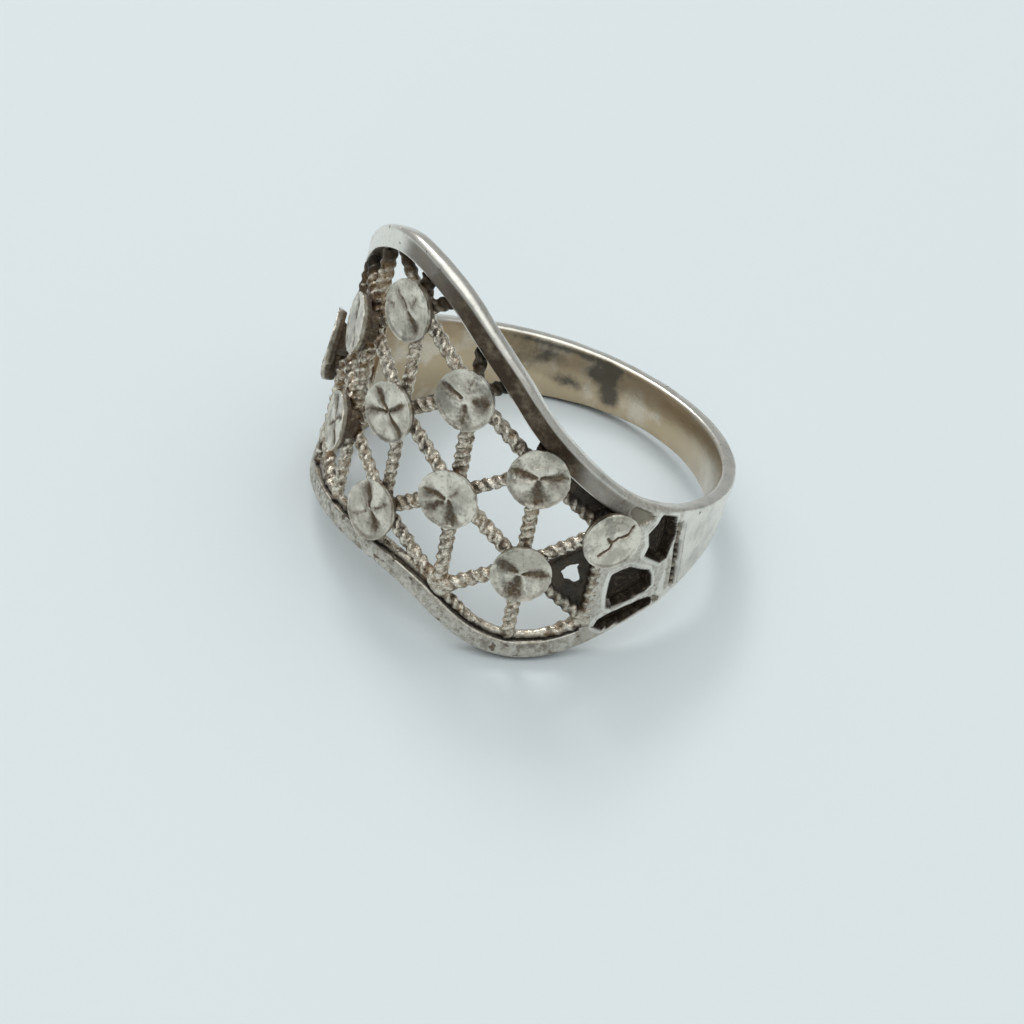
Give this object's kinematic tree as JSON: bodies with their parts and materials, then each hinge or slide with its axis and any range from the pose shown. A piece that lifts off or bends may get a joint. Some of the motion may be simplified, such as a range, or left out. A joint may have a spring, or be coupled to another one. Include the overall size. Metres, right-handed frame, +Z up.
{
  "type": "finger ring",
  "caption": "Cast silver finger ring with a narrow plain back and a wide wavy front panel, pierced into a triangular net of wires with flat cross-cut discs on its crossings.",
  "frame": {"origin": "on the surface the ring lies on, at the middle of the ring's box", "axes": "+Z up, out of the surface the ring lies on; -Y towards the front of the pierced panel; +X to the right of somebody who faces the panel"},
  "size_m": [0.0204, 0.021, 0.0166],
  "materials": {
    "silver": "worn polished silver with brown and black tarnish in the recesses"
  },
  "bodies": {
    "root": {"ring": "silver"}
  },
  "joints": []
}
